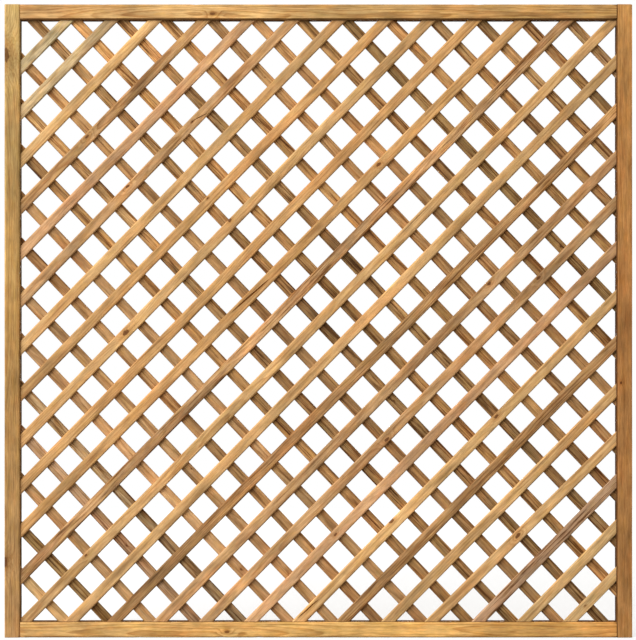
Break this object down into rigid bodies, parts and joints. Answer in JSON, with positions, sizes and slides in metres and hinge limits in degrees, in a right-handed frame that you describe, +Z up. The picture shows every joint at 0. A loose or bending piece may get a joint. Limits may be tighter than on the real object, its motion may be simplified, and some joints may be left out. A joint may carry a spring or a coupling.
{
  "type": "garden trellis panel",
  "caption": "Square framed timber trellis panel with a diagonal lattice of two crossed slat layers, for climbing plants between posts or against a wall.",
  "frame": {"origin": "middle of the underside, halfway between the front and back faces", "axes": "+Z up, +X to the right seen from the front, +Y from the front to the back"},
  "size_m": [1.785, 0.036, 1.8],
  "materials": {
    "frame_timber": "planed pressure-treated softwood, honey brown",
    "front_slat_wood": "planed pressure-treated softwood, honey to pinkish brown",
    "back_slat_wood": "planed pressure-treated softwood, a little darker brown",
    "zinc_steel": "dull zinc-plated wire and screws"
  },
  "bodies": {
    "root": {"left_stile": "frame_timber", "right_stile": "frame_timber", "top_rail": "frame_timber", "bottom_rail": "frame_timber", "front_slat_lower_12": "front_slat_wood", "front_slat_lower_11": "front_slat_wood", "front_slat_lower_10": "front_slat_wood", "front_slat_lower_09": "front_slat_wood", "front_slat_lower_08": "front_slat_wood", "front_slat_lower_07": "front_slat_wood", "front_slat_lower_06": "front_slat_wood", "front_slat_lower_05": "front_slat_wood", "front_slat_lower_04": "front_slat_wood", "front_slat_lower_03": "front_slat_wood", "front_slat_lower_02": "front_slat_wood", "front_slat_lower_01": "front_slat_wood", "front_slat_middle": "front_slat_wood", "front_slat_upper_01": "front_slat_wood", "front_slat_upper_02": "front_slat_wood", "front_slat_upper_03": "front_slat_wood", "front_slat_upper_04": "front_slat_wood", "front_slat_upper_05": "front_slat_wood", "front_slat_upper_06": "front_slat_wood", "front_slat_upper_07": "front_slat_wood", "front_slat_upper_08": "front_slat_wood", "front_slat_upper_09": "front_slat_wood", "front_slat_upper_10": "front_slat_wood", "front_slat_upper_11": "front_slat_wood", "front_slat_upper_12": "front_slat_wood", "back_slat_lower_12": "back_slat_wood", "back_slat_lower_11": "back_slat_wood", "back_slat_lower_10": "back_slat_wood", "back_slat_lower_09": "back_slat_wood", "back_slat_lower_08": "back_slat_wood", "back_slat_lower_07": "back_slat_wood", "back_slat_lower_06": "back_slat_wood", "back_slat_lower_05": "back_slat_wood", "back_slat_lower_04": "back_slat_wood", "back_slat_lower_03": "back_slat_wood", "back_slat_lower_02": "back_slat_wood", "back_slat_lower_01": "back_slat_wood", "back_slat_middle": "back_slat_wood", "back_slat_upper_01": "back_slat_wood", "back_slat_upper_02": "back_slat_wood", "back_slat_upper_03": "back_slat_wood", "back_slat_upper_04": "back_slat_wood", "back_slat_upper_05": "back_slat_wood", "back_slat_upper_06": "back_slat_wood", "back_slat_upper_07": "back_slat_wood", "back_slat_upper_08": "back_slat_wood", "back_slat_upper_09": "back_slat_wood", "back_slat_upper_10": "back_slat_wood", "back_slat_upper_11": "back_slat_wood", "back_slat_upper_12": "back_slat_wood", "lattice_staples": "zinc_steel", "corner_screws": "zinc_steel"}
  },
  "joints": []
}
